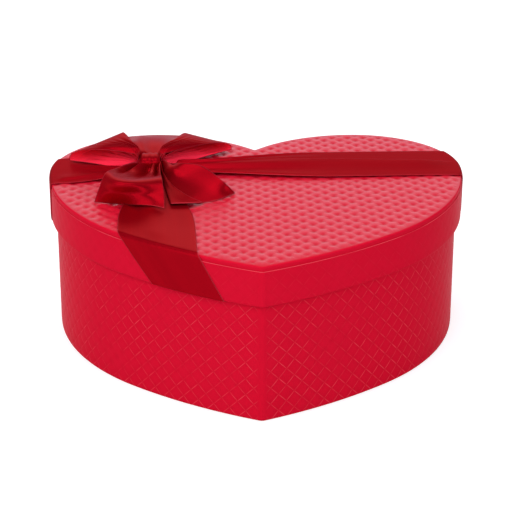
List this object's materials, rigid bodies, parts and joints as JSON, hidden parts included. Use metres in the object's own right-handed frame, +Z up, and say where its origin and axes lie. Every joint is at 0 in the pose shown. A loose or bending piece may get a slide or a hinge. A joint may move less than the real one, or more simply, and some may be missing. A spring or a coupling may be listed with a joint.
{
  "type": "heart gift box",
  "caption": "Heart-shaped gift box in woven-embossed red paper with a lift-off telescoping lid, a crossed satin ribbon and a flat bow.",
  "frame": {"origin": "on the table, under the middle of the lid's outline", "axes": "+X to the heart's right, +Y to its two lobes (the tip points to -Y, the front), +Z up"},
  "size_m": [0.2308, 0.2, 0.0985],
  "materials": {
    "red_paper": "coated paper with a woven emboss, satin gloss",
    "greyboard": "uncoated greyboard",
    "lining_paper": "matt off-white lining paper",
    "satin_ribbon": "woven satin, soft sheen"
  },
  "bodies": {
    "base": {"base_foot_sheet": "red_paper", "base_floor_board": "greyboard", "base_wall_board_left": "greyboard", "base_wall_board_right": "greyboard", "base_wall_wrap": "red_paper", "base_floor_lining": "lining_paper", "base_wall_lining": "lining_paper"},
    "lid": {"lid_lining": "lining_paper", "lid_top_board": "greyboard", "lid_rim_board_left": "greyboard", "lid_rim_board_right": "greyboard", "lid_top_wrap": "red_paper", "lid_rim_wrap": "red_paper", "ribbon_across": "satin_ribbon", "ribbon_front_back": "satin_ribbon", "bow_knot": "satin_ribbon", "bow_loop_left": "satin_ribbon", "bow_loop_right": "satin_ribbon", "bow_tail_left": "satin_ribbon", "bow_tail_right": "satin_ribbon"}
  },
  "joints": [
    {"name": "lid_lift", "type": "slide", "parent": "base", "child": "lid", "axis": [0, 0, 1], "range_m": [0, 0.11]}
  ]
}
